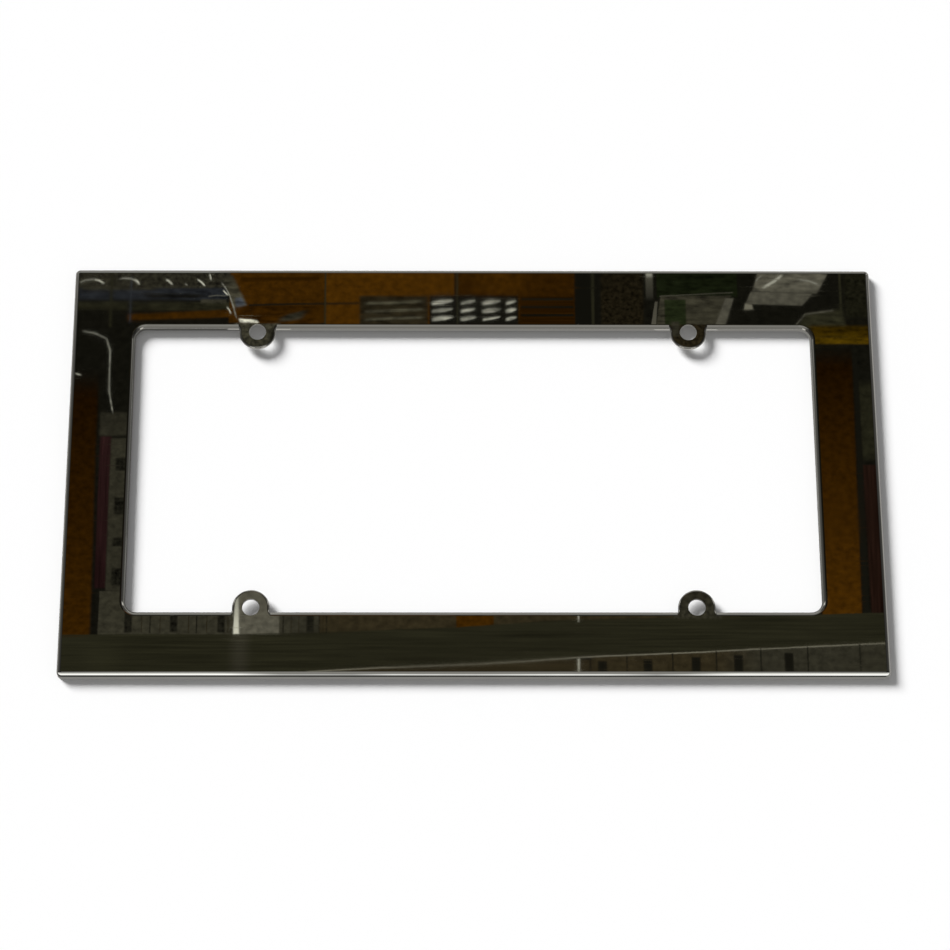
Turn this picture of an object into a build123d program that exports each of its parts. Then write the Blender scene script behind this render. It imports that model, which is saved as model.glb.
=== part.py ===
import os
from build123d import *

os.makedirs("parts", exist_ok=True)

# Sheet and outer flange, in millimetres
sheet = 1.0
flange_depth = 4.5
flange_inside_radius = 0.7
corner_ease = 0.3
side_rail = 25.9
top_rail = 27.1

# Face opening and its turned down lip
opening_width = 278.2
opening_corner_radius = 4.5
lip_inside_radius = 1.1
lip_straight = 0.2

# Screw tabs level with the face, on the standard plate pattern
hole_spacing_x = 177.8
hole_spacing_y = 120.65
hole_to_lip = 1.575
screw_diameter = 6.0
screw_clearance = 0.9
tab_rim = 4.05
tab_edge_straight = 0.1
tab_root_radius = 3.0

# Eased edges
edge_round = 0.12
same_place = 0.01

# Derived sizes
hole_radius = (screw_diameter + screw_clearance) / 2
tab_radius = hole_radius + tab_rim
tab_edge_round = sheet - tab_edge_straight
opening_height = hole_spacing_y + 2 * hole_to_lip
frame_width = opening_width + 2 * side_rail
frame_height = opening_height + 2 * top_rail
flange_bend_radius = flange_inside_radius + sheet
corner_radius = flange_bend_radius + corner_ease
lip_bend_radius = lip_inside_radius + sheet
lip_depth = lip_bend_radius + lip_straight
face_under = flange_depth - sheet
lip_rim = flange_depth - lip_depth
tab_root_y = opening_height / 2 + lip_bend_radius
tab_end_y = tab_root_y + lip_bend_radius
tab_root_width = 2 * (tab_radius + tab_root_radius)

# Outline of the four screw tabs, flaring where each runs on past the lip into the face
with BuildSketch() as tabs:
    with GridLocations(hole_spacing_x, hole_spacing_y, 2, 2):
        Circle(tab_radius)
    with GridLocations(hole_spacing_x, tab_root_y + tab_end_y, 2, 2):
        Rectangle(tab_root_width, tab_end_y - tab_root_y)
    roots = tabs.vertices().filter_by(lambda v: abs(abs(v.Y) - tab_root_y) < same_place)
    roots = roots.filter_by(lambda v: abs(abs(v.X) - hole_spacing_x / 2) < tab_radius)
    fillet(roots, radius=tab_root_radius)
    with GridLocations(hole_spacing_x, hole_spacing_y, 2, 2):
        Circle(hole_radius, mode=Mode.SUBTRACT)

# The tabs in sheet, with their outer edge rounded over and their holes eased
with BuildPart() as tab_sheets:
    with BuildSketch(Plane.XY.offset(face_under)):
        add(tabs.sketch)
    extrude(amount=sheet)
    tab_faces = tab_sheets.faces().filter_by(Plane.XY)
    hole_edges = ShapeList([e for f in tab_faces for w in f.inner_wires() for e in w.edges()])
    fillet(hole_edges, radius=edge_round)
    tab_tops = tab_sheets.faces().filter_by(Plane.XY).group_by(Axis.Z)[-1]
    rim_edges = ShapeList([e for f in tab_tops for e in f.outer_wire().edges()])
    fillet(rim_edges.filter_by(lambda e: abs(e.center().Y) < tab_root_y + same_place), radius=tab_edge_round)

# Hollow under the sheet, with the lip standing in it
with BuildPart() as hollow:
    with BuildSketch():
        RectangleRounded(frame_width - 2 * sheet, frame_height - 2 * sheet, corner_radius - sheet)
    extrude(amount=face_under)
    hollow_top = hollow.faces().sort_by(Axis.Z)[-1]
    fillet(hollow_top.outer_wire().edges(), radius=flange_inside_radius)
    with BuildSketch(Plane.XY.offset(lip_rim)):
        RectangleRounded(opening_width + 2 * sheet, opening_height + 2 * sheet, opening_corner_radius + sheet)
    extrude(amount=face_under - lip_rim, mode=Mode.SUBTRACT)
    hollow_top = hollow.faces().sort_by(Axis.Z)[-1]
    fillet(hollow_top.inner_wires()[0].edges(), radius=lip_inside_radius)

# One stamped sheet: face, outer flange, inner lip and four screw tabs
with BuildPart() as plate_frame:
    with BuildSketch():
        RectangleRounded(frame_width, frame_height, corner_radius)
    extrude(amount=flange_depth)
    face_top = plate_frame.faces().sort_by(Axis.Z)[-1]
    fillet(face_top.outer_wire().edges(), radius=flange_bend_radius)
    with BuildSketch():
        RectangleRounded(opening_width, opening_height, opening_corner_radius)
    extrude(amount=flange_depth, mode=Mode.SUBTRACT)
    face_top = plate_frame.faces().sort_by(Axis.Z)[-1]
    fillet(face_top.inner_wires()[0].edges(), radius=lip_bend_radius)
    add(hollow.part, mode=Mode.SUBTRACT)

    # The lip is left out under each tab, where the sheet runs on level
    with BuildSketch():
        with GridLocations(hole_spacing_x, opening_height, 2, 2):
            Rectangle(2 * (tab_radius - tab_edge_round), 2 * lip_bend_radius)
    extrude(amount=flange_depth, mode=Mode.SUBTRACT)
    add(tab_sheets.part)

    # Eased rims of the lip and the flange
    for level in (lip_rim, 0):
        rims = plate_frame.faces().filter_by(Plane.XY)
        rims = rims.filter_by_position(Axis.Z, level - same_place, level + same_place)
        fillet(rims.edges(), radius=edge_round)

plate_frame.part.label = "plate_frame"
export_step(plate_frame.part, "parts/plate_frame.step")
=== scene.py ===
import math

import bpy
from mathutils import Matrix, Vector


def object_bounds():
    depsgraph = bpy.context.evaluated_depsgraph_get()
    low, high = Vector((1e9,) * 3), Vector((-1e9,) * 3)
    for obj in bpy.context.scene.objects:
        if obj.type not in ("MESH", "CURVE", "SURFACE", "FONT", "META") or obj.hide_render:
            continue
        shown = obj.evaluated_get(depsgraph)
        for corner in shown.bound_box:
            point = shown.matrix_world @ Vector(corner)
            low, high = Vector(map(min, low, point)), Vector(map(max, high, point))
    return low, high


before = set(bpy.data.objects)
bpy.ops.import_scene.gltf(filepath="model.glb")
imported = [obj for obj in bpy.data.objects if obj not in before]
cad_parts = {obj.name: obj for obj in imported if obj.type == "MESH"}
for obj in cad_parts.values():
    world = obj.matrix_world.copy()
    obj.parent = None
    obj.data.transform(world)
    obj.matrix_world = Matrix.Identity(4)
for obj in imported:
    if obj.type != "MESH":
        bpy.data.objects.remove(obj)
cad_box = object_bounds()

MM = 0.001

# Camera, as fitted to the outline, the window and the screw holes in the photograph
IMAGE_SIZE = 950
FOCAL_PIXELS = 3171.8
SENSOR_WIDTH = 36.0
CAMERA_AZIMUTH = -1.666
CAMERA_ELEVATION = 67.701
CAMERA_ROLL = 1.588
CAMERA_DISTANCE = 1284.9 * MM
CAMERA_CLIP = (0.02, 60.0)
FACE_HEIGHT = cad_box[1][2]
CAMERA_TARGET = Vector((0.58 * MM, -3.41 * MM, FACE_HEIGHT))

# Floor, key lamp, fill, and the world's level where it is seen
FLOOR_WHITE = (0.95, 0.95, 0.95)
FLOOR_HALF_SIZE = 9.0
KEY_FROM = Vector((-1.14, 1.04, 1.0))
KEY_STRENGTH = 4.66
KEY_SPREAD = math.radians(24.0)
FILL_LEVEL = 0.245
SEEN_LEVEL = 1.0

# Node sockets that are picked by place, because they share their names
MIX_FIRST, MIX_SECOND, MIX_RESULT = 6, 7, 2
RANGE_LIMITS = slice(1, 5)

# Noise in the metal: waves a metre along X, Y and Z, detail, roughness, and a turn in degrees
WIPES = ((9.0, 34.0, 34.0), 4.0, 0.62, 24.0)
HAIRS = ((26.0, 1500.0, 1500.0), 3.0, 0.6, 4.0)
SHEET_WAVES = ((15.0, 22.0, 22.0), 1.0, 0.4, 0.0)
PEEL = ((210.0, 210.0, 210.0), 2.0, 0.5, 0.0)
GRAIN = ((14.0, 900.0, 900.0), 4.0, 0.65, 0.0)
CLOUDS = ((26.0, 40.0, 40.0), 4.0, 0.6, 0.0)

# What the noise does in the polished skin: its range, and the roughness or share of tint for that
WIPE_HAZE = (0.42, 0.68, 0.008, 0.020)
HAIR_SCRATCH = (0.60, 0.74, 0.0, 0.035)
WIPE_TINT = (0.35, 0.7, 0.0, 1.0)
POLISH_COLOURS = ((0.79, 0.79, 0.775), (0.75, 0.75, 0.73))
SHEET_WAVE_HEIGHT = 0.008 * MM
PEEL_HEIGHT = 0.0003 * MM

# The same for the satin back and the cut edges
GRAIN_ROUGHNESS = (0.3, 0.7, 0.24, 0.36)
CLOUD_ROUGHNESS = (0.35, 0.7, 0.0, 0.12)
CLOUD_TINT = (0.3, 0.7, 0.0, 1.0)
SATIN_COLOURS = ((0.62, 0.62, 0.61), (0.53, 0.53, 0.52))
GRAIN_HEIGHT = 0.004 * MM


def add_node(tree, kind, **settings):
    node = tree.nodes.new(kind)
    for key, value in settings.items():
        setattr(node, key, value)
    return node


def set_inputs(node, **values):
    for key, value in values.items():
        node.inputs[key].default_value = value


def new_material(name):
    material = bpy.data.materials.new(name)
    material.use_nodes = True
    material.node_tree.nodes.clear()
    return material, material.node_tree


def new_metal(name):
    material, tree = new_material(name)
    shader = add_node(tree, "ShaderNodeBsdfPrincipled")
    output = add_node(tree, "ShaderNodeOutputMaterial")
    set_inputs(shader, Metallic=1.0)
    tree.links.new(shader.outputs["BSDF"], output.inputs["Surface"])
    return material, tree, shader


def stretched_noise(tree, scale, detail, roughness, turn):
    """Noise in the object's own metres, with this many waves a metre along each axis."""
    coords = add_node(tree, "ShaderNodeTexCoord")
    mapping = add_node(tree, "ShaderNodeMapping")
    set_inputs(mapping, Scale=scale, Rotation=(0.0, 0.0, math.radians(turn)))
    noise = add_node(tree, "ShaderNodeTexNoise")
    set_inputs(noise, Scale=1.0, Detail=detail, Roughness=roughness)
    tree.links.new(coords.outputs["Object"], mapping.inputs["Vector"])
    tree.links.new(mapping.outputs["Vector"], noise.inputs["Vector"])
    return noise.outputs["Fac"]


def between(tree, value, low_in, high_in, low_out, high_out, smooth=False):
    """The value mapped from the first range to the second, and held at its ends."""
    ramp = add_node(tree, "ShaderNodeMapRange", interpolation_type="SMOOTHSTEP" if smooth else "LINEAR")
    tree.links.new(value, ramp.inputs["Value"])
    for socket, level in zip(ramp.inputs[RANGE_LIMITS], (low_in, high_in, low_out, high_out)):
        socket.default_value = level
    return ramp.outputs["Result"]


def mixed_colour(tree, factor, first, second):
    mix = add_node(tree, "ShaderNodeMix", data_type="RGBA")
    tree.links.new(factor, mix.inputs["Factor"])
    mix.inputs[MIX_FIRST].default_value = (*first, 1.0)
    mix.inputs[MIX_SECOND].default_value = (*second, 1.0)
    return mix.outputs[MIX_RESULT]


def maths(tree, operation, *values):
    node = add_node(tree, "ShaderNodeMath", operation=operation)
    for socket, value in zip(node.inputs, values):
        if isinstance(value, (int, float)):
            socket.default_value = value
        else:
            tree.links.new(value, socket)
    return node.outputs[0]


def bump(tree, height, distance, under=None):
    node = add_node(tree, "ShaderNodeBump")
    set_inputs(node, Strength=1.0, Distance=distance)
    tree.links.new(height, node.inputs["Height"])
    if under is not None:
        tree.links.new(under, node.inputs["Normal"])
    return node.outputs["Normal"]


def polished_sheet():
    """Mirror polish, with the faint waves of thin sheet, wipe marks and hair scratches."""
    material, tree, shader = new_metal("polished_sheet")
    wipes = stretched_noise(tree, *WIPES)
    hairs = stretched_noise(tree, *HAIRS)
    rough = between(tree, wipes, *WIPE_HAZE)
    rough = maths(tree, "ADD", rough, between(tree, hairs, *HAIR_SCRATCH))
    tree.links.new(rough, shader.inputs["Roughness"])
    tint = mixed_colour(tree, between(tree, wipes, *WIPE_TINT), *POLISH_COLOURS)
    tree.links.new(tint, shader.inputs["Base Color"])
    normal = bump(tree, stretched_noise(tree, *SHEET_WAVES), SHEET_WAVE_HEIGHT)
    normal = bump(tree, stretched_noise(tree, *PEEL), PEEL_HEIGHT, normal)
    tree.links.new(normal, shader.inputs["Normal"])
    return material


def satin_sheet():
    """Unpolished back and sheared edges, with the fine grain of rolled sheet."""
    material, tree, shader = new_metal("satin_sheet")
    grain = stretched_noise(tree, *GRAIN)
    clouds = stretched_noise(tree, *CLOUDS)
    rough = between(tree, grain, *GRAIN_ROUGHNESS)
    rough = maths(tree, "ADD", rough, between(tree, clouds, *CLOUD_ROUGHNESS))
    tree.links.new(rough, shader.inputs["Roughness"])
    tint = mixed_colour(tree, between(tree, clouds, *CLOUD_TINT), *SATIN_COLOURS)
    tree.links.new(tint, shader.inputs["Base Color"])
    tree.links.new(bump(tree, grain, GRAIN_HEIGHT), shader.inputs["Normal"])
    return material


# Faces steeper than this count as upright, and those this near the outline belong to the flange's wall
UPRIGHT_NORMAL = 0.05
OUTLINE_MARGIN = 0.35 * MM
POLISHED_SLOT, SATIN_SLOT = 0, 1


def is_polished(face):
    """The skin that faces up or out is polished, and the back and the cut edges aren't."""
    normal, middle = face.normal, face.center
    if abs(normal.z) > UPRIGHT_NORMAL:
        return normal.z > 0
    at_outline = any(abs(middle[axis]) > cad_box[1][axis] - OUTLINE_MARGIN for axis in (0, 1))
    return at_outline and normal.x * middle.x + normal.y * middle.y > 0


def dress_frame():
    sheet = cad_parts["plate_frame"]
    sheet.data.materials.clear()
    sheet.data.materials.append(polished_sheet())
    sheet.data.materials.append(satin_sheet())
    for face in sheet.data.polygons:
        face.material_index = POLISHED_SLOT if is_polished(face) else SATIN_SLOT


def camera_axes():
    """The camera's right, up and back in the shared frame."""
    azimuth, elevation, roll = (math.radians(a) for a in (CAMERA_AZIMUTH, CAMERA_ELEVATION, CAMERA_ROLL))
    back = Vector((
        math.sin(azimuth) * math.cos(elevation),
        -math.cos(azimuth) * math.cos(elevation),
        math.sin(elevation),
    ))
    level = Vector((math.cos(azimuth), math.sin(azimuth), 0.0))
    rise = back.cross(level)
    right = math.cos(roll) * level + math.sin(roll) * rise
    up = -math.sin(roll) * level + math.cos(roll) * rise
    return right, up, back


def place_camera():
    right, up, back = camera_axes()
    data = bpy.data.cameras.new("photo_camera")
    data.sensor_fit = "HORIZONTAL"
    data.sensor_width = SENSOR_WIDTH
    data.lens = FOCAL_PIXELS / IMAGE_SIZE * SENSOR_WIDTH
    data.clip_start, data.clip_end = CAMERA_CLIP
    camera = bpy.data.objects.new("photo_camera", data)
    bpy.context.scene.collection.objects.link(camera)
    turn = Matrix((right, up, back)).transposed().to_4x4()
    camera.matrix_world = Matrix.Translation(CAMERA_TARGET + back * CAMERA_DISTANCE) @ turn
    bpy.context.scene.camera = camera


def lay_floor():
    mesh = bpy.data.meshes.new("floor")
    h = FLOOR_HALF_SIZE
    mesh.from_pydata([(-h, -h, 0.0), (h, -h, 0.0), (h, h, 0.0), (-h, h, 0.0)], [], [(0, 1, 2, 3)])
    floor = bpy.data.objects.new("floor", mesh)
    bpy.context.scene.collection.objects.link(floor)
    material, tree = new_material("floor_white")
    shader = add_node(tree, "ShaderNodeBsdfDiffuse")
    set_inputs(shader, Color=(*FLOOR_WHITE, 1.0))
    output = add_node(tree, "ShaderNodeOutputMaterial")
    tree.links.new(shader.outputs["BSDF"], output.inputs["Surface"])
    mesh.materials.append(material)


def hang_key():
    key = bpy.data.lights.new("key", "SUN")
    key.energy = KEY_STRENGTH
    key.angle = KEY_SPREAD
    lamp = bpy.data.objects.new("key", key)
    lamp.rotation_euler = KEY_FROM.to_track_quat("Z", "Y").to_euler()
    lamp.visible_glossy = False
    bpy.context.scene.collection.objects.link(lamp)


def light_world():
    """An even fill on every surface, and plain white behind the floor where the world itself is seen."""
    world = bpy.data.worlds.new("studio")
    bpy.context.scene.world = world
    world.use_nodes = True
    tree = world.node_tree
    tree.nodes.clear()
    path = add_node(tree, "ShaderNodeLightPath")
    seen = maths(tree, "MAXIMUM", path.outputs["Is Camera Ray"], path.outputs["Is Glossy Ray"])
    seen = maths(tree, "MAXIMUM", seen, path.outputs["Is Transmission Ray"])
    mix = add_node(tree, "ShaderNodeMixShader")
    output = add_node(tree, "ShaderNodeOutputWorld")
    tree.links.new(seen, mix.inputs["Fac"])
    for socket, level in zip(mix.inputs[1:], (FILL_LEVEL, SEEN_LEVEL)):
        background = add_node(tree, "ShaderNodeBackground")
        set_inputs(background, Color=(1.0, 1.0, 1.0, 1.0), Strength=level)
        tree.links.new(background.outputs["Background"], socket)
    tree.links.new(mix.outputs["Shader"], output.inputs["Surface"])


def only_in_mirrors(stand):
    """Such a piece of the studio is seen in the metal alone, and throws no light or shadow elsewhere."""
    stand.visible_camera = False
    stand.visible_diffuse = False
    stand.visible_shadow = False
    stand.visible_transmission = False


# The dim studio that the bends see on each side, as pairs of the height's sine and the brightness there
# The dome glows and is seen only in the metal, so its levels are a painted reflection on the bends
DOME_RADIUS = 5.0
DOME_SEGMENTS = 64
DOME_RINGS = 16
DOME_TINT = (1.0, 0.97, 0.88)
DOME_SIDES = {
    "far": ((0.0, 0.38), (0.34, 0.28), (0.64, 0.17), (0.80, 0.085), (0.90, 0.03), (1.0, 0.015)),
    "near": ((0.0, 0.25), (0.2, 0.20), (0.45, 0.18), (0.80, 0.20), (0.93, 0.30), (0.98, 0.25), (1.0, 0.05)),
    "right": ((0.0, 0.09), (0.30, 0.04), (0.46, 0.025), (0.70, 0.02), (1.0, 0.015)),
    "left": ((0.0, 0.10), (0.30, 0.06), (0.46, 0.045), (0.70, 0.03), (1.0, 0.015)),
}

# Added to a divisor that is nothing right overhead
ABOVE_ZERO = 0.0001


def height_levels(tree, height, pairs):
    ramp = add_node(tree, "ShaderNodeValToRGB")
    steps = ramp.color_ramp.elements
    while len(steps) < len(pairs):
        steps.new(1.0)
    for step, (place, level) in zip(steps, pairs):
        step.position = place
        step.color = (level, level, level, 1.0)
    tree.links.new(height, ramp.inputs["Fac"])
    return ramp.outputs["Color"]


def blended(tree, factor, first, second):
    """The first value where the factor is 0, and the second where it is 1."""
    share = maths(tree, "MULTIPLY", second, factor)
    rest = maths(tree, "MULTIPLY", first, maths(tree, "SUBTRACT", 1.0, factor))
    return maths(tree, "ADD", share, rest)


def sky_point(bearing, height, distance):
    """The point at this bearing clockwise from +Y and this height, both in degrees."""
    turn, rise = math.radians(bearing), math.radians(height)
    level = math.cos(rise)
    return Vector((math.sin(turn) * level, math.cos(turn) * level, math.sin(rise))) * distance


def dome_shape():
    """Rings of points from the floor up, closed by one point at the top."""
    bearings = [360 / DOME_SEGMENTS * column for column in range(DOME_SEGMENTS)]
    heights = [90 / DOME_RINGS * ring for ring in range(DOME_RINGS)]
    points = [sky_point(bearing, height, DOME_RADIUS) for height in heights for bearing in bearings]
    top = len(points)
    points.append(Vector((0.0, 0.0, DOME_RADIUS)))
    faces = []
    for start in range(0, top, DOME_SEGMENTS):
        for column in range(DOME_SEGMENTS):
            a, b = start + column, start + (column + 1) % DOME_SEGMENTS
            above = a + DOME_SEGMENTS
            faces.append((a, b, b + DOME_SEGMENTS, above) if above < top else (a, b, top))
    return points, faces


def raise_dome():
    """A half sphere over the floor that glows as the list of sides says, blended round the corners."""
    mesh = bpy.data.meshes.new("dome")
    points, faces = dome_shape()
    mesh.from_pydata(points, [], faces)
    dome = bpy.data.objects.new("dome", mesh)
    bpy.context.scene.collection.objects.link(dome)
    material, tree = new_material("dome_glow")
    coords = add_node(tree, "ShaderNodeTexCoord")
    unit = add_node(tree, "ShaderNodeVectorMath", operation="NORMALIZE")
    split = add_node(tree, "ShaderNodeSeparateXYZ")
    tree.links.new(coords.outputs["Object"], unit.inputs[0])
    tree.links.new(unit.outputs["Vector"], split.inputs["Vector"])
    x, y, height = (split.outputs[axis] for axis in "XYZ")
    sides = {side: height_levels(tree, height, pairs) for side, pairs in DOME_SIDES.items()}
    along = blended(tree, maths(tree, "GREATER_THAN", y, 0.0), sides["near"], sides["far"])
    across = blended(tree, maths(tree, "GREATER_THAN", x, 0.0), sides["left"], sides["right"])
    y_square = maths(tree, "MULTIPLY", y, y)
    squares = maths(tree, "ADD", maths(tree, "MULTIPLY", x, x), y_square)
    y_share = maths(tree, "DIVIDE", y_square, maths(tree, "ADD", squares, ABOVE_ZERO))
    glow = add_node(tree, "ShaderNodeEmission")
    set_inputs(glow, Color=(*DOME_TINT, 1.0))
    tree.links.new(blended(tree, y_share, across, along), glow.inputs["Strength"])
    output = add_node(tree, "ShaderNodeOutputMaterial")
    tree.links.new(glow.outputs["Emission"], output.inputs["Surface"])
    mesh.materials.append(material)
    only_in_mirrors(dome)


# The noise in the cards' grain, and the half at which a noise and a card have their middle
CARD_NOISE_DETAIL = 4.0
CARD_NOISE_ROUGHNESS = 0.6
HALF = 0.5


def card_paint():
    """Each card glows in its own colour, broken up by its grain, and fades out over its soft border, as a
    painted reflection seen only in the metal.
    """
    material, tree = new_material("painted_reflection_glow")
    own = {}
    for name in ("glow", "border", "grain"):
        own[name] = add_node(tree, "ShaderNodeAttribute", attribute_name=name)
    card = add_node(tree, "ShaderNodeSeparateXYZ")
    border = add_node(tree, "ShaderNodeSeparateXYZ")
    tree.links.new(add_node(tree, "ShaderNodeUVMap", uv_map="card").outputs["UV"], card.inputs["Vector"])
    tree.links.new(own["border"].outputs["Vector"], border.inputs["Vector"])
    covers = []
    for axis in "XY":
        off_middle = maths(tree, "ABSOLUTE", maths(tree, "SUBTRACT", card.outputs[axis], HALF))
        inside = maths(tree, "DIVIDE", maths(tree, "SUBTRACT", HALF, off_middle), border.outputs[axis])
        covers.append(between(tree, inside, 0.0, 1.0, 0.0, 1.0, smooth=True))
    cover = maths(tree, "MULTIPLY", *covers)
    place = add_node(tree, "ShaderNodeVectorMath", operation="MULTIPLY")
    tree.links.new(add_node(tree, "ShaderNodeUVMap", uv_map="face").outputs["UV"], place.inputs[0])
    tree.links.new(own["grain"].outputs["Vector"], place.inputs[1])
    noise = add_node(tree, "ShaderNodeTexNoise", noise_dimensions="2D")
    set_inputs(noise, Scale=1.0, Detail=CARD_NOISE_DETAIL, Roughness=CARD_NOISE_ROUGHNESS)
    tree.links.new(place.outputs["Vector"], noise.inputs["Vector"])
    grain = add_node(tree, "ShaderNodeSeparateXYZ")
    tree.links.new(own["grain"].outputs["Vector"], grain.inputs["Vector"])
    off_middle = maths(tree, "SUBTRACT", noise.outputs["Fac"], HALF)
    swing = maths(tree, "MULTIPLY", off_middle, grain.outputs["Z"])
    glow = add_node(tree, "ShaderNodeEmission")
    tree.links.new(own["glow"].outputs["Color"], glow.inputs["Color"])
    tree.links.new(maths(tree, "MAXIMUM", maths(tree, "ADD", swing, 1.0), 0.0), glow.inputs["Strength"])
    clear = add_node(tree, "ShaderNodeBsdfTransparent")
    mix = add_node(tree, "ShaderNodeMixShader")
    output = add_node(tree, "ShaderNodeOutputMaterial")
    tree.links.new(cover, mix.inputs["Fac"])
    tree.links.new(clear.outputs["BSDF"], mix.inputs[1])
    tree.links.new(glow.outputs["Emission"], mix.inputs[2])
    tree.links.new(mix.outputs["Shader"], output.inputs["Surface"])
    return material


def hang_strip(name, lower, upper, places, glows, border, grain, paint):
    """A strip between two rows of points, with a glow and a place in the grain for each point of both."""
    count = len(lower)
    mesh = bpy.data.meshes.new(name)
    quads = [(i, i + 1, count + i + 1, count + i) for i in range(count - 1)]
    mesh.from_pydata([tuple(p) for p in (*lower, *upper)], [], quads)
    card = mesh.uv_layers.new(name="card")
    face = mesh.uv_layers.new(name="face")
    for loop in mesh.loops:
        row, column = divmod(loop.vertex_index, count)
        card.data[loop.index].uv = (column / (count - 1), row)
        face.data[loop.index].uv = places[loop.vertex_index]
    glow = mesh.attributes.new("glow", "FLOAT_COLOR", "POINT")
    for point, colour in zip(glow.data, glows):
        point.color = (*colour, 1.0)
    for attribute, value in (("border", (*border, 0.0)), ("grain", grain)):
        layer = mesh.attributes.new(attribute, "FLOAT_VECTOR", "POINT")
        for point in layer.data:
            point.vector = value
    mesh.materials.append(paint)
    strip = bpy.data.objects.new(name, mesh)
    bpy.context.scene.collection.objects.link(strip)
    only_in_mirrors(strip)


def tinted(tint, level):
    return [c * level for c in tint]


# The cards stand on the line of sight that the face mirrors, so each is given by where it shows on the face
# They glow and are seen only in the metal, so together they paint the reflection of a dim room on the
# polished face
BOARD_DISTANCE = 1.8
BOARD_STEP = 0.003


def seen_on_board(x, y, distance):
    """The point of the board whose reflection the camera sees at this place on the face, in millimetres."""
    back = camera_axes()[2]
    eye = CAMERA_TARGET + back * CAMERA_DISTANCE
    image = Vector((eye.x, eye.y, 2 * FACE_HEIGHT - eye.z))
    axis = Vector((-back.x, -back.y, back.z))
    centre = CAMERA_TARGET + axis * distance
    ray = Vector((x * MM, y * MM, FACE_HEIGHT)) - image
    return image + ray * ((centre - image).dot(axis) / ray.dot(axis))


# Glow of each colour
COLOURS = {
    "dark": (0.0068, 0.0064, 0.0042),
    "amber": (0.052, 0.020, 0.0012),
    "brown": (0.035, 0.027, 0.013),
    "olive": (0.0210, 0.0200, 0.0105),
    "grey": (0.040, 0.037, 0.024),
    "pale": (0.098, 0.092, 0.068),
    "white": (0.60, 0.59, 0.48),
    "blue": (0.0175, 0.0195, 0.0225),
    "mauve": (0.0185, 0.0085, 0.0055),
    "plum": (0.0205, 0.0082, 0.0080),
    "yellow": (0.068, 0.038, 0.0012),
    "green": (0.0112, 0.0150, 0.0056),
}

# Grains: waves per millimetre across and up, and their swing
PLAIN = (0.1, 0.1, 0.15)
CLOUDED = (0.33, 0.42, 1.5)
STREAKED = (0.02, 1.3, 2.0)
FOLDED = (0.15, 0.45, 2.8)
MOTTLED = (0.55, 0.6, 3.6)
STREAKED_UP = (0.9, 0.03, 2.2)


# Outlines in millimetres on the face, each as a lower and an upper row of points
def quad(lower_left, lower_right, upper_left, upper_right):
    return (lower_left, lower_right), (upper_left, upper_right)


def box(x0, y0, x1, y1):
    return quad((x0, y0), (x1, y0), (x0, y1), (x1, y1))


def line(width, *points):
    """A narrow strip of this width along the points."""
    lower, upper = [], []
    for i, (x, y) in enumerate(points):
        (xa, ya), (xb, yb) = points[max(i - 1, 0)], points[min(i + 1, len(points) - 1)]
        length = math.hypot(xb - xa, yb - ya)
        side_x, side_y = -(yb - ya) / length * width / 2, (xb - xa) / length * width / 2
        lower.append((x - side_x, y - side_y))
        upper.append((x + side_x, y + side_y))
    return tuple(lower), tuple(upper)


def upright(x, y0, y1, width):
    return box(x - width / 2, y0, x + width / 2, y1)


def mean_length(starts, ends):
    return sum(math.dist(a, b) for a, b in zip(starts, ends)) / len(starts)


# Upper edge and foot of the olive band in the lower rail, with a pale line along its foot
BAND_TOP = ((-200, -71.6), (-96, -71.6), (-57, -70.8), (-10, -68.7), (34, -65.7), (90, -64.4), (200, -61.6))
BAND_FOOT = ((-200, -92), (-96, -89), (-37, -85.8), (2, -84.2), (50, -80.8), (90, -79.1), (200, -73.6))
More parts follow.
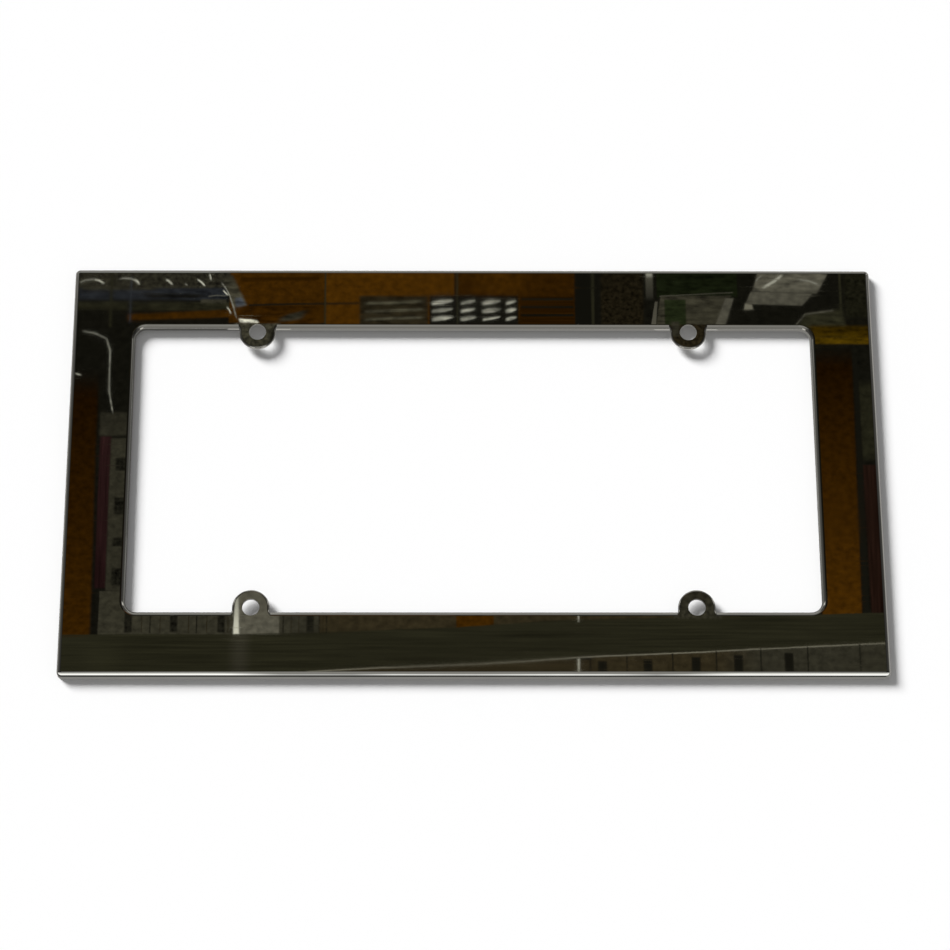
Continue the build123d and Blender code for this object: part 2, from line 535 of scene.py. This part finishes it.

# Cards from the back to the front: name, outline, colour, its level at the lower and the upper edge,
# width of the soft border in millimetres, or its width at the ends and along the edges, and grain
# Each card is a painted reflection, seen only in the metal
CARDS = [
    ("board_dark", box(-330, -130, 330, 260), "dark", (1.0, 1.0), 60, CLOUDED),
    # Upper rail
    ("upper_folds", box(-175, 79.5, -100, 100), "grey", (0.66, 0.5), 1.0, MOTTLED),
    ("upper_blue", box(-175, 74.2, -101, 81), "blue", (1.0, 1.2), 1.4, FOLDED),
    ("upper_streak", box(-164, 79.0, -130, 81.4), "grey", (0.8, 0.7), (4.0, 0.8), FOLDED),
    ("upper_blue_dark", box(-140, 75.5, -108, 78.0), "dark", (1.2, 1.2), (8.0, 1.0), FOLDED),
    ("upper_olive", box(-175, 69.4, -100, 74.4), "olive", (0.75, 0.95), 1.0, FOLDED),
    ("upper_amber_strip", quad((-143, 65.0), (-100, 66.6), (-143, 68.4), (-100, 71.0)),
     "amber", (0.95, 0.8), 0.8, CLOUDED),
    ("upper_grey_patch", box(-113, 73.0, -101.5, 75.6), "grey", (1.0, 0.9), 0.9, FOLDED),
    ("upper_post_olive", upright(-149.7, 62, 92, 1.5), "olive", (1.0, 1.0), 0.4, PLAIN),
    ("upper_post_blue", upright(-141.6, 64, 86, 1.0), "blue", (1.9, 1.9), 0.4, PLAIN),
    ("amber_1", box(-101, 64.2, -61.2, 170), "amber", (0.85, 1.45), 0.5, CLOUDED),
    ("amber_1_low", box(-97, 62, -61.8, 72.4), "amber", (0.80, 0.55), (3.0, 0.8), FOLDED),
    ("amber_1_strip", line(1.4, (-84, 67.2), (-68, 68.6)), "amber", (1.1, 1.1), (5.0, 0.6), CLOUDED),
    ("amber_2", box(-61.2, 60, -6.7, 170), "amber", (1.2, 1.65), 0.4, CLOUDED),
    ("amber_3", box(-6.7, 60, 42.4, 170), "amber", (0.5, 1.0), 0.5, CLOUDED),
    ("amber_3_bright", box(-6.7, 76, 30, 170), "amber", (0.95, 1.35), (18.0, 3.0), CLOUDED),
    ("upper_film", quad((-99.4, 70.6), (-92.4, 72.0), (-104.8, 86.0), (-99.4, 87.2)),
     "grey", (2.2, 0.7), 1.8, FOLDED),
    ("upper_film_end", quad((-98.4, 70.8), (-92.8, 72.0), (-99.4, 76.4), (-95.4, 77.0)),
     "blue", (4.4, 3.0), 1.7, FOLDED),
    ("amber_dark_line", line(1.3, (-93, 72.4), (-47, 73.4)), "dark", (1.3, 1.3), 0.5, PLAIN),
    ("amber_dark_top", line(3.0, (-97, 84.0), (-63, 84.8)), "amber", (0.5, 0.5), 1.4, PLAIN),
    ("rib_ground", box(-47.5, 60, -18.0, 77.4), "brown", (0.75, 0.5), 1.2, FOLDED),
    ("rib_ground_dark", box(-18.4, 60, 19.2, 77.4), "dark", (1.3, 1.1), 0.8, CLOUDED),
    ("rib_brown", box(19.2, 60, 42.4, 77.0), "amber", (0.38, 0.42), 0.8, STREAKED),
    ("seam_1", upright(-61.2, 60, 92, 0.9), "olive", (1.25, 1.25), 0.3, PLAIN),
    ("seam_2_shade", upright(-7.4, 60, 92, 1.0), "dark", (1.0, 1.0), 0.3, PLAIN),
    ("seam_2", upright(-6.5, 60, 92, 0.7), "olive", (1.4, 1.4), 0.2, PLAIN),
    ("upper_dark_gap", box(42.4, 60, 52.0, 110), "dark", (0.95, 0.95), 0.6, PLAIN),
    ("upper_olive_post", upright(49.7, 60, 92, 1.8), "olive", (1.0, 1.0), 0.6, PLAIN),
    ("upper_mauve", box(52.3, 60, 71.4, 110), "brown", (0.36, 0.30), 1.6, MOTTLED),
    ("upper_slot", box(71.4, 74, 75.2, 100), "pale", (0.15, 1.5), (0.7, 3.0), PLAIN),
    # A painted glint at the top of the slot
    ("upper_slot_glint", box(71.6, 85.0, 75.0, 88.5), "white", (0.4, 0.55), 0.8, PLAIN),
    ("upper_green", box(76, 76, 110, 110), "green", (0.7, 0.6), 0.7, FOLDED),
    ("parcel_grey", quad((75.5, 63.6), (102.6, 63.6), (77.5, 77.0), (107.5, 77.6)),
     "grey", (1.05, 1.0), 0.6, FOLDED),
    ("parcel_green", box(79, 62, 88.5, 75.6), "green", (1.5, 1.3), 0.8, FOLDED),
    ("parcel_left_edge", quad((73.0, 60), (75.6, 60), (75.4, 74.5), (76.8, 74.5)),
     "pale", (1.0, 0.8), 0.4, PLAIN),
    ("parcel_pale", quad((99.6, 63), (104.4, 63), (104.5, 76.4), (108.6, 76.4)),
     "pale", (1.0, 0.8), 0.7, CLOUDED),
    ("parcel_rim", line(0.6, (77.3, 76.8), (92, 77.6), (108, 78.6)), "pale", (0.7, 0.7), 0.25, PLAIN),
    ("bundle_pale", quad((115.5, 79.0), (143.0, 78.0), (121.5, 100), (155.0, 100)),
     "pale", (1.05, 0.95), 0.8, FOLDED),
    ("bundle_band", quad((112.5, 73.2), (136.5, 72.4), (115.2, 79.4), (141.5, 78.4)),
     "pale", (0.85, 0.95), 0.6, CLOUDED),
    ("bundle_spot", quad((111.8, 70.2), (116.4, 70.6), (112.6, 74.0), (116.0, 73.4)),
     "pale", (1.9, 1.9), 0.7, PLAIN),
    # Painted glints on the folds of the pale bundle
    ("bundle_painted_glint_1", line(1.5, (119.5, 80.3), (125.0, 83.6), (129.5, 87.4)),
     "white", (0.7, 0.7), (3.0, 0.5), PLAIN),
    ("bundle_painted_glint_2", line(1.0, (134.0, 85.0), (139.5, 84.2), (145.0, 81.8)),
     "white", (0.45, 0.45), (3.0, 0.4), PLAIN),
    ("bundle_painted_glint_3", line(0.8, (117.2, 83.0), (118.6, 85.2), (121.0, 87.0)),
     "white", (0.35, 0.35), (2.0, 0.3), PLAIN),
    ("corner_folds", box(153, 66, 173, 94), "olive", (0.5, 0.55), (3.0, 3.0), MOTTLED),
    ("corner_post", upright(152.6, 68, 90, 1.4), "olive", (1.2, 1.2), 0.5, PLAIN),
    ("corner_parcel", quad((131, 57), (156, 57), (137, 69.5), (154.0, 72.5)),
     "olive", (1.5, 1.1), 2.2, FOLDED),
    ("corner_parcel_edge", line(1.2, (131, 60.5), (137.5, 68.6), (150, 70.6)),
     "pale", (0.8, 0.8), (1.2, 0.5), FOLDED),
    ("corner_yellow", box(137, 56.5, 168, 64.5), "yellow", (0.72, 0.38), (4.0, 2.4), FOLDED),
    # Right rail
    ("right_yellow", box(139, 54.4, 168, 58.6), "yellow", (1.3, 0.85), (0.6, 1.2), FOLDED),
    ("right_amber", quad((138, -92), (154.6, -92), (140, 56), (156.6, 56)),
     "amber", (1.50, 0.12), (0.9, 12.0), CLOUDED),
    ("right_dark_post", quad((154.8, -70), (157.8, -70), (156.4, 50), (158.4, 50)),
     "dark", (1.3, 1.1), 0.7, PLAIN),
    ("right_olive", box(157.8, 1.5, 174, 40), "olive", (0.95, 0.75), (1.0, 5.0), CLOUDED),
    ("right_mauve", box(157.8, -68, 174, 1.6), "mauve", (0.8, 0.95), 0.9, STREAKED_UP),
    # Left rail
    ("left_amber", quad((-175, -90), (-151.6, -90), (-175, 44), (-152.8, 44)),
     "amber", (0.85, 0.17), (1.6, 14.0), CLOUDED),
    ("left_mauve", box(-152.2, -53, -146.6, 14), "plum", (0.95, 1.15), 1.2, STREAKED_UP),
    ("left_grey", box(-147.6, -54, -136, 13), "grey", (0.75, 0.85), 1.0, CLOUDED),
    ("left_grey_high", box(-152.8, 13.0, -136, 25), "grey", (0.72, 0.55), 1.4, CLOUDED),
    ("left_grey_low", box(-149.6, -74, -136, -53.4), "grey", (1.05, 0.95), 0.5, CLOUDED),
    # Lower rail
    ("lower_grey", box(-138, -74, -61.5, -58), "grey", (1.0, 1.0), 0.4, CLOUDED),
    ("lower_brown", box(-61.5, -73, 106, -58), "brown", (1.0, 1.0), 0.5, CLOUDED),
    ("lower_amber", box(-7.4, -70, 8.0, -58), "amber", (1.0, 1.0), 0.4, CLOUDED),
    ("lower_pale", box(-94.2, -74, -77.2, -50), "pale", (1.18, 1.08), 0.5, CLOUDED),
    # A painted highlight: a bright streak over the near left tab
    ("lower_painted_highlight", quad((-96.0, -72.2), (-93.0, -72.2), (-94.9, -50), (-93.7, -50)),
     "white", (1.3, 0.35), (0.8, 0.5), PLAIN),
    ("lower_foot", box(-200, -120, 46, -82), "brown", (0.8, 0.85), 0.6, STREAKED),
    ("lower_foot_right", box(46, -120, 200, -74), "brown", (1.0, 1.0), 0.5, CLOUDED),
    ("lower_foot_grey", box(92, -120, 200, -72), "grey", (0.85, 0.85), (26.0, 0.5), CLOUDED),
    ("lower_band", (BAND_FOOT, BAND_TOP), "olive", (1.0, 1.05), 0.35, STREAKED),
    ("lower_band_glow_1", box(-99, -89, -87, -71.4), "grey", (0.75, 0.95), (5.8, 0.4), STREAKED),
    ("lower_band_glow_2", box(-160, -91, -136, -72), "olive", (1.25, 1.25), (11.0, 7.0), STREAKED),
    ("lower_line", line(0.6, *BAND_FOOT), "pale", (2.1, 2.1), 0.15, PLAIN),
    # Screw tabs: painted reflections where the tabs show, with a painted glare on the far left one
    ("tab_far_left", box(-99, 51.5, -79, 64.6), "grey", (1.0, 1.25), 0.8, MOTTLED),
    ("tab_far_left_glare", quad((-96.6, 64.3), (-87.6, 64.1), (-97.4, 66.8), (-88.6, 66.0)),
     "white", (1.1, 1.3), (1.4, 0.7), MOTTLED),
    ("tab_far_left_dark", box(-84.4, 53, -80, 61.5), "dark", (1.2, 1.2), 1.6, FOLDED),
    ("tab_far_left_film", quad((-82.5, 63.8), (-70, 65.5), (-80.5, 67.8), (-66, 71.4)),
     "grey", (1.1, 0.6), (4.0, 1.8), FOLDED),
    ("tab_far_right", box(79, 51.5, 99, 64.2), "brown", (0.6, 0.55), 0.8, MOTTLED),
    ("tab_far_right_film", box(81, 58, 86, 66), "grey", (0.9, 0.7), 1.6, FOLDED),
    ("tab_near_right", box(79, -66.4, 99, -51), "grey", (0.95, 0.65), (0.8, 2.4), MOTTLED),
    # Ticks of light above and below the olive band
    ("lower_tick_1", upright(41.6, -66.5, -60, 0.7), "white", (0.6, 0.6), 0.15, PLAIN),
    ("lower_tick_2", upright(41.4, -88, -81.9, 0.8), "white", (0.8, 0.8), 0.15, PLAIN),
]

# Ribs in the upper rail, from the left: stripes, lights and shades, with heights from each row's own height
RIB_ROWS = (73.9, 70.2, 66.5)
RIB_STRIPE_X = (-46.0, -19.5)
RIB_STRIPE_Y = (-0.5, -0.2, 0.6)
RIB_STRIPE_BEND = 12
RIB_STRIPE_LIFT = 0.2
RIB_STRIPE_WIDTH = 1.7
RIB_LIGHTS_X = ((-17.4, -8.0), (-5.6, 1.4), (3.4, 11.8), (13.2, 18.4))
RIB_LIGHT_LOWER = (-1.5, -0.7, 0.6)
RIB_LIGHT_UPPER = (0.3, 1.1, 1.4)
RIB_SWELLS = (0.35, -0.1, 0.2, 0.0, 0.45)
RIB_SHADE_X = (19.4, 42.2)
RIB_SHADE_Y = (0.9, 2.3)


def rib_stripe(row, y):
    (x0, x1), (left, bend, right) = RIB_STRIPE_X, RIB_STRIPE_Y
    middle = (x0 + RIB_STRIPE_BEND, y + bend + RIB_STRIPE_LIFT * row)
    return line(RIB_STRIPE_WIDTH, (x0, y + left), middle, (x1, y + right))


def rib_light(x0, x1, y, swell):
    """A wedge that climbs to the right, wider in the middle and longer by the swell."""
    middle = (x0 + x1) / 2
    left, bend, right = RIB_LIGHT_LOWER
    lower = ((x0, y + left), (middle, y + bend - swell), (x1 + swell, y + right))
    left, bend, right = RIB_LIGHT_UPPER
    upper = ((x0 - swell, y + left), (middle, y + bend + swell), (x1, y + right))
    return lower, upper


for row, y in enumerate(RIB_ROWS):
    CARDS.append((f"rib_stripe_{row}", rib_stripe(row, y), "grey", (2.3, 1.6), (3.0, 0.6), FOLDED))
    (x0, x1), (low, high) = RIB_SHADE_X, RIB_SHADE_Y
    shade = box(x0, y + low, x1, y + high)
    CARDS.append((f"rib_shade_{row}", shade, "dark", (1.2, 1.2), (1.2, 0.4), STREAKED))
    for column, (x0, x1) in enumerate(RIB_LIGHTS_X):
        wedge = rib_light(x0, x1, y, RIB_SWELLS[(2 * row + column) % len(RIB_SWELLS)])
        CARDS.append((f"rib_light_{row}_{column}", wedge, "white", (0.8, 0.45), (1.4, 0.5), FOLDED))

# Dark blocks up the left rail, and blocks, gaps and lines along the lower rail and its foot
LEFT_BLOCK_X = (-145.4, -136)
LEFT_BLOCKS = ((-2.2, 4.4), (-21.0, -12.7), (-35.0, -30.2), (-51.6, -43.3))
BOX_Y = (-71.4, -58)
BOX_LINE_Y = (-71.2, -58)
BOX_BLOCKS = (-137.5, -119.4, -100.6, -65.2)
BOX_BLOCK_SIDES = (1.8, 2.0)
BOX_GAPS = (-128.6, -110.2, -75.8, -58.6)
BOX_GAP_WIDTH = 0.7
BOX_LINES = (-132.0, -124.6, -113.4, -106.2, -97.8, -72.6, -69.6, -60.0)
BOX_LINE_WIDTH = 0.45
FOOT_BLOCKS = (50.6, 68.6, 87.8, 104.6, 124.6)
FOOT_BLOCK_SIDES = (2.0, 2.2)
FOOT_BLOCK_FOOT = -88
FOOT_GAPS = (60.4, 78.6, 96.0, 113.6, 132.2, 153.0)
FOOT_GAP_WIDTH = 0.8
FOOT_GAP_FOOT = -90

# The tops in the foot rise with the pale line over them: X, height there, rise per millimetre
FOOT_BLOCK_TOP = (50, -82.6, 0.045)
FOOT_GAP_TOP = (60, -80.4, 0.05)


def block(x, y0, y1, sides):
    left, right = sides
    return box(x - left, y0, x + right, y1)


def left_block(y0, y1):
    x0, x1 = LEFT_BLOCK_X
    return box(x0, y0, x1, y1)


def rising(x, start, height, rise):
    return height + rise * (x - start)


def foot_block(x):
    return block(x, FOOT_BLOCK_FOOT, rising(x, *FOOT_BLOCK_TOP), FOOT_BLOCK_SIDES)


def foot_gap(x):
    return upright(x, FOOT_GAP_FOOT, rising(x, *FOOT_GAP_TOP), FOOT_GAP_WIDTH)


def add_row(name, outlines, *look):
    for number, outline in enumerate(outlines):
        CARDS.append((f"{name}_{number}", outline, *look))


box_blocks = [block(x, *BOX_Y, BOX_BLOCK_SIDES) for x in BOX_BLOCKS]
box_gaps = [upright(x, *BOX_Y, BOX_GAP_WIDTH) for x in BOX_GAPS]
box_lines = [upright(x, *BOX_LINE_Y, BOX_LINE_WIDTH) for x in BOX_LINES]
add_row("left_block", [left_block(*ends) for ends in LEFT_BLOCKS], "dark", (1.5, 1.5), 1.1, MOTTLED)
add_row("box_block", box_blocks, "dark", (1.6, 1.6), 0.9, MOTTLED)
add_row("box_gap", box_gaps, "dark", (1.2, 1.2), 0.25, PLAIN)
add_row("box_line", box_lines, "brown", (0.6, 0.6), 0.15, PLAIN)
add_row("foot_block", [foot_block(x) for x in FOOT_BLOCKS], "dark", (1.4, 1.2), 0.7, PLAIN)
add_row("foot_gap", [foot_gap(x) for x in FOOT_GAPS], "dark", (1.3, 1.3), 0.3, PLAIN)

# Short strokes of light on the folds, as level and points, and long lines of light along them, all painted
# glints
GLINT_WIDTH = 0.72
GLINTS = (
    (0.55, ((-163.6, 82.6), (-160.4, 84.0), (-156.6, 84.4))),
    (1.5, ((-157.4, 84.3), (-155.0, 83.8), (-152.6, 82.2))),
    (1.5, ((-140.8, 84.6), (-139.2, 83.6), (-138.0, 81.8))),
    (1.5, ((-127.6, 84.6), (-126.0, 83.6), (-124.2, 81.8))),
    (0.5, ((-119.8, 82.6), (-118.0, 81.6))),
    (1.5, ((-114.6, 84.6), (-112.8, 83.2), (-110.8, 81.0))),
    (1.2, ((-109.6, 87.4), (-109.0, 85.4), (-108.6, 83.6))),
    (1.2, ((-103.8, 79.6), (-102.6, 78.0), (-101.2, 76.8))),
    (1.1, ((-102.0, 72.0), (-100.8, 70.4), (-99.8, 68.2))),
    (0.2, ((-110.0, 76.4), (-106.0, 77.0), (-102.0, 76.6))),
    (1.0, ((-163.6, 41.8), (-160.4, 40.6))),
)
FOLD_LINE_WIDTH = 0.8
FOLD_LINES = (
    ((-147.6, 84.2), (-145.0, 84.9), (-142.0, 84.8), (-139.8, 83.6), (-138.6, 81.8)),
    ((-104.8, 83.4), (-102.6, 80.4), (-100.6, 76.4), (-98.8, 71.0), (-97.4, 65.6)),
    ((-161.5, 60.4), (-156.0, 59.4), (-151.0, 57.0), (-149.4, 51.6), (-149.2, 42.0), (-149.0, 33.9),
     (-146.9, 23.0)),
)
for number, (level, points) in enumerate(GLINTS):
    stroke = line(GLINT_WIDTH, *points)
    CARDS.append((f"glint_{number}", stroke, "white", (level, level), (1.3, 0.3), PLAIN))
fold_glint_lines = [line(FOLD_LINE_WIDTH, *points) for points in FOLD_LINES]
add_row("fold_line", fold_glint_lines, "white", (0.42, 0.42), (2.5, 0.3), FOLDED)


def hang_cards(paint):
    for layer, (name, (lower, upper), colour, levels, soft, grain) in enumerate(CARDS):
        distance = BOARD_DISTANCE - layer * BOARD_STEP
        rows = [[seen_on_board(x, y, distance) for x, y in row] for row in (lower, upper)]
        glows = [tinted(COLOURS[colour], level) for row, level in zip(rows, levels) for _ in row]
        width = sum(math.dist(a, b) for a, b in zip(lower, lower[1:]))
        softs = soft if isinstance(soft, tuple) else (soft, soft)
        border = [min(s / size, HALF) for s, size in zip(softs, (width, mean_length(lower, upper)))]
        hang_strip(name, *rows, (*lower, *upper), glows, border, grain, paint)


# A glowing card just before the lower flange, seen only in the metal, which its bend shows as a bright line
# of painted highlight: X, level, lower edge's height
EDGE_CARD_Y = -89.5
EDGE_CARD_TOP = 5.51
EDGE_CARD_TINT = (1.0, 1.0, 0.97)
EDGE_CARD_STEPS = (
    (-182, 1.35, 3.89), (-96, 1.35, 3.89), (-77, 0.55, 3.89), (-48, 0.45, 3.87), (-32, 0.92, 3.82),
    (0, 0.75, 3.68), (35, 1.05, 3.62), (59, 0.85, 3.60), (72, 0.50, 3.60), (101, 1.20, 3.54),
    (182, 1.30, 3.52),
)
EDGE_CARD_BORDER = (0.02, 0.12)

# Plain cards beside the flange: sides along X, Y, heights, glow, border
# They glow and are seen only in the metal: painted highlights on the lower bend's ends and a dim painted
# reflection on the far bend
FLANGE_CARDS = {
    "edge_card_left": ((-192, -77), EDGE_CARD_Y, (5.28, 9.4), (1.0, 0.99, 0.95), (0.25, 0.3)),
    "edge_card_right": ((81, 192), EDGE_CARD_Y, (5.28, 9.4), (1.0, 0.99, 0.95), (0.25, 0.3)),
    "edge_card_far": ((-178, -96), -EDGE_CARD_Y, (4.75, 8.8), (0.23, 0.23, 0.215), (0.2, 0.2)),
}


def hang_flange_cards(paint):
    lower = [Vector((x, EDGE_CARD_Y, z)) * MM for x, level, z in EDGE_CARD_STEPS]
    upper = [Vector((x, EDGE_CARD_Y, EDGE_CARD_TOP)) * MM for x, level, z in EDGE_CARD_STEPS]
    places = [(x, z) for x, level, z in EDGE_CARD_STEPS] * 2
    glows = [tinted(EDGE_CARD_TINT, level) for x, level, z in EDGE_CARD_STEPS] * 2
    hang_strip("edge_card", lower, upper, places, glows, EDGE_CARD_BORDER, PLAIN, paint)
    for name, (sides, y, heights, glow, border) in FLANGE_CARDS.items():
        rows = [[Vector((x, y, z)) * MM for x in sides] for z in heights]
        places = [(x, z) for z in heights for x in sides]
        hang_strip(name, *rows, places, [glow] * len(places), border, PLAIN, paint)


def hang_level_card(name, sides, height, levels, tint, border, paint):
    """A level card over these sides in millimetres, with a level at its near and its far side."""
    x0, y0, x1, y1 = sides
    rows = [[Vector((x, y, height)) * MM for x in (x0, x1)] for y in (y0, y1)]
    places = [(x, y) for y in (y0, y1) for x in (x0, x1)]
    glows = [tinted(tint, level) for level in levels for _ in (x0, x1)]
    hang_strip(name, *rows, places, glows, border, PLAIN, paint)


# The ground that the bends mirror: name, sides, level at its near and far side, height above the floor
GROUND_TINT = (1.0, 0.98, 0.92)
GROUND_BORDER = (0.001, 0.001)
# These cards glow and are seen only in the metal; the base grey is a painted reflection of a darker ground
GROUND = (
    ("ground", (-4500, -4500, 4500, 4500), (0.26, 0.26), 0.03),
    # Lighter right of the flange: a painted highlight on the right bend
    ("ground_right_painted_light", (165.05, -130, 420, 130), (0.36, 0.36), 0.06),
    # Darker inside the left and lower rails: painted shadow and shade on their lips
    ("ground_left_inside_painted_shadow", (-160, -62, -95, 62), (0.09, 0.09), 0.06),
    ("ground_near_inside_painted_shade", (-130, -62, 138, -25), (0.09, 0.26), 0.07),
    # Lighter under the tabs: painted highlights on the tab rims
    ("ground_tab_far_left_painted_light", (-102, 43, -75.8, 57), (0.55, 0.55), 0.09),
    ("ground_tab_far_right_painted_light", (75.8, 43, 102, 57), (0.55, 0.55), 0.09),
    ("ground_tab_near_left_painted_light", (-102, -57, -75.8, -43), (0.38, 0.38), 0.09),
    ("ground_tab_near_right_painted_light", (75.8, -57, 102, -43), (0.38, 0.38), 0.09),
    # Darker in front of the lower flange: painted shade and shadow on its wall
    ("ground_front_far_painted_shade", (-260, -150, 260, -96), (0.26, 0.05), 0.06),
    ("ground_front_painted_shadow", (-260, -96, 260, -89.9), (0.045, 0.045), 0.06),
)


def lay_mirror_ground(paint):
    for name, sides, levels, height in GROUND:
        hang_level_card(name, sides, height, levels, GROUND_TINT, GROUND_BORDER, paint)


# Large soft cards round the studio for the views from other sides: name, bearings, heights and level.
# One more hangs overhead
# They glow and are seen only in the metal, as painted reflections of soft lights and dark flags
STUDIO_DISTANCE = 4.2
STUDIO_COLUMNS = 9
STUDIO_BORDER = (0.2, 0.25)
STUDIO_CARDS = (
    ("studio_far_left_dark", (-46, -13), (8, 50), 0.06),
    ("studio_far_left", (-60, -43), (8, 42), 0.62),
    ("studio_far_right_dark", (13, 46), (8, 50), 0.06),
    ("studio_far_right", (43, 60), (8, 42), 0.62),
    ("studio_near_left", (-166, -136), (8, 48), 0.62),
    ("studio_near_left_dark", (-139, -112), (8, 50), 0.06),
    ("studio_near_right", (136, 166), (8, 48), 0.62),
    ("studio_near_right_dark", (112, 139), (8, 50), 0.06),
)
OVERHEAD_SIDES = (-850, -330, 850, 420)
OVERHEAD_HEIGHT = 3000
OVERHEAD_LEVELS = (0.55, 0.10)
OVERHEAD_BORDER = (0.35, 0.2)


def hang_studio_cards(paint):
    for name, (first, last), heights, level in STUDIO_CARDS:
        step = (last - first) / (STUDIO_COLUMNS - 1)
        bearings = [first + step * column for column in range(STUDIO_COLUMNS)]
        rows = [[sky_point(bearing, height, STUDIO_DISTANCE) for bearing in bearings] for height in heights]
        places = [(bearing, height) for height in heights for bearing in bearings]
        glows = [tinted(DOME_TINT, level)] * len(places)
        hang_strip(name, *rows, places, glows, STUDIO_BORDER, PLAIN, paint)
    hang_level_card("studio_overhead", OVERHEAD_SIDES, OVERHEAD_HEIGHT, OVERHEAD_LEVELS, DOME_TINT,
                    OVERHEAD_BORDER, paint)


dress_frame()
place_camera()
lay_floor()
hang_key()
light_world()
raise_dome()
painted_reflection_glow = card_paint()
hang_cards(painted_reflection_glow)
hang_flange_cards(painted_reflection_glow)
lay_mirror_ground(painted_reflection_glow)
hang_studio_cards(painted_reflection_glow)

bpy.context.scene.view_settings.view_transform = "Standard"
